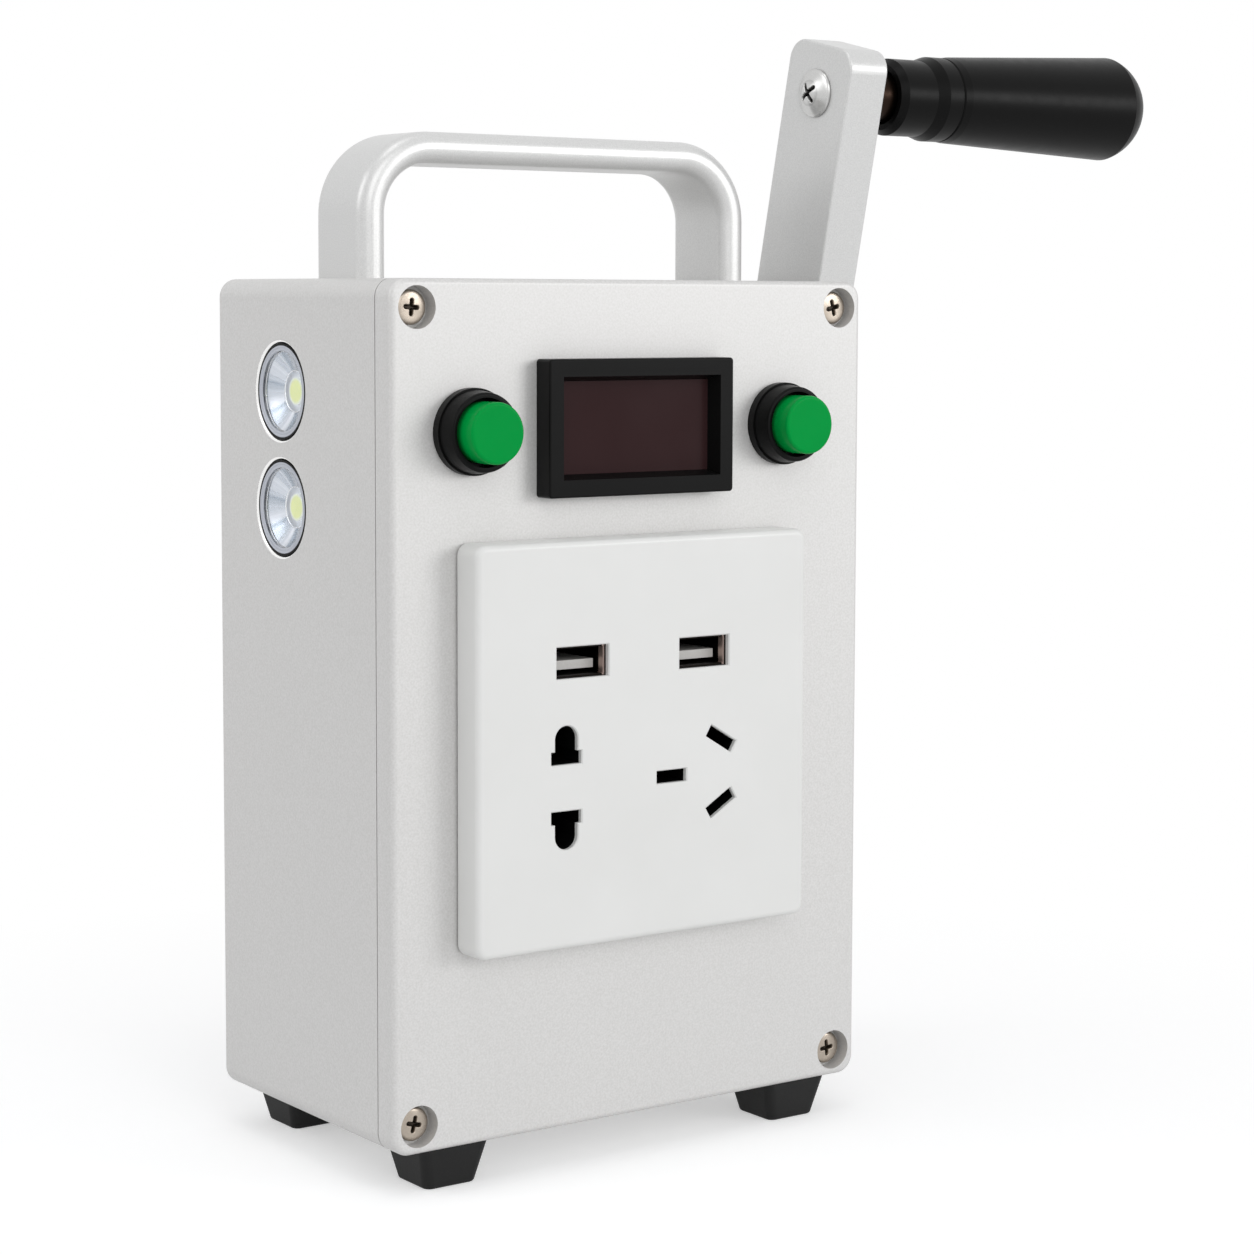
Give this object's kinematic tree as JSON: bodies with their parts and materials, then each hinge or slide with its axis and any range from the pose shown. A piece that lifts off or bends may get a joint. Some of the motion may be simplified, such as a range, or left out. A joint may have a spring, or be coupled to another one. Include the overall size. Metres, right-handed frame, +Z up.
{
  "type": "hand crank generator",
  "caption": "Portable power box with a side crank and turning grip, a gear train to a generator, carry handle, torches, meter, push buttons and a socket plate.",
  "frame": {"origin": "middle of the footprint of the case, on the plane that the feet stand on", "axes": "+Z up; the front panel with the meter, buttons and socket faces -Y; the crank is on the +X side and turns about X"},
  "size_m": [0.2326, 0.0847, 0.2463],
  "materials": {
    "bead_blasted_aluminium": "satin",
    "satin_aluminium": "satin",
    "rubber_black": "matte",
    "nickel_steel": "polished",
    "ground_steel": "ground",
    "blackened_steel": "blackened",
    "spring_steel": "satin",
    "sintered_bronze": "satin",
    "zinc_steel": "zinc plated",
    "laminated_steel": "rough",
    "ferrite": "matte",
    "black_plastic": "matte",
    "grip_plastic": "gloss",
    "green_plastic": "gloss",
    "white_plastic": "semi gloss",
    "smoked_window": "gloss",
    "clear_lens": "gloss",
    "mirror_coat": "mirror",
    "torch_led_board": "matte",
    "contact_brass": "satin",
    "circuit_board": "satin",
    "cell_sleeve": "gloss",
    "capacitor_sleeve": "gloss"
  },
  "bodies": {
    "case": {"battery_cells": "cell_sleeve", "battery_contacts": "contact_brass", "battery_tray": "black_plastic", "board_standoffs": "white_plastic", "button_bodies": "black_plastic", "button_left_spring": "spring_steel", "button_nuts": "black_plastic", "button_right_spring": "spring_steel", "capacitors": "capacitor_sleeve", "carry_handle": "satin_aluminium", "charge_board": "circuit_board", "cover_gasket": "rubber_black", "cover_screws": "nickel_steel", "crank_bushes": "sintered_bronze", "feet": "rubber_black", "foot_screws": "nickel_steel", "front_cover": "bead_blasted_aluminium", "gear_plate_inner": "satin_aluminium", "gear_plate_outer": "satin_aluminium", "gear_standoffs": "satin_aluminium", "gearbox_screws": "nickel_steel", "generator_can": "zinc_steel", "generator_end_cap": "black_plastic", "generator_magnets": "ferrite", "generator_screws": "nickel_steel", "handle_screws": "nickel_steel", "heat_sink": "satin_aluminium", "housing": "bead_blasted_aluminium", "idler_axle": "ground_steel", "inverter_board": "circuit_board", "meter_bezel": "black_plastic", "meter_board": "circuit_board", "meter_window": "smoked_window", "socket_back": "black_plastic", "socket_contacts": "contact_brass", "socket_frame": "black_plastic", "socket_plate": "white_plastic", "socket_screws": "nickel_steel", "torch_holders": "black_plastic", "torch_leds": "torch_led_board", "torch_lenses": "clear_lens", "torch_reflectors": "mirror_coat", "transformer": "ferrite", "usb_module": "zinc_steel"},
    "crank": {"crank_arm": "satin_aluminium", "crank_shaft": "ground_steel", "crank_gear": "ground_steel", "hub_spacer": "satin_aluminium", "crank_washer": "nickel_steel", "crank_fixing_screw": "nickel_steel", "grip_screw": "nickel_steel", "grip_spindle": "blackened_steel", "spindle_cap": "nickel_steel"},
    "grip": {"grip": "grip_plastic"},
    "idler": {"idler_pinion": "ground_steel", "idler_wheel": "ground_steel"},
    "rotor": {"generator_rotor": "laminated_steel", "rotor_pinion": "ground_steel"},
    "button_left": {"button_left_cap": "green_plastic"},
    "button_right": {"button_right_cap": "green_plastic"}
  },
  "joints": [
    {"name": "crank_spin", "type": "hinge", "parent": "case", "child": "crank", "pos_m": [0, 0.009, 0.1353], "axis": [1, 0, 0], "continuous": true},
    {"name": "idler_spin", "type": "hinge", "parent": "case", "child": "idler", "pos_m": [0, 0.00501, 0.10759], "axis": [1, 0, 0], "continuous": true},
    {"name": "rotor_spin", "type": "hinge", "parent": "case", "child": "rotor", "pos_m": [0, 0.013, 0.08284], "axis": [1, 0, 0], "continuous": true},
    {"name": "grip_spin", "type": "hinge", "parent": "crank", "child": "grip", "pos_m": [0.078, -0.01368, 0.23352], "axis": [1, 0, 0], "continuous": true},
    {"name": "button_left_press", "type": "slide", "parent": "case", "child": "button_left", "axis": [0, 1, 0], "range_m": [0, 0.002], "stiffness_N_per_m": 400, "springref_m": -0.001, "deforming": ["button_left_spring"]},
    {"name": "button_right_press", "type": "slide", "parent": "case", "child": "button_right", "axis": [0, 1, 0], "range_m": [0, 0.002], "stiffness_N_per_m": 400, "springref_m": -0.001, "deforming": ["button_right_spring"]}
  ],
  "couplings": [
    {"joint": "idler_spin", "follows": "crank_spin", "ratio": -3.6667},
    {"joint": "rotor_spin", "follows": "crank_spin", "ratio": 12.222}
  ]
}
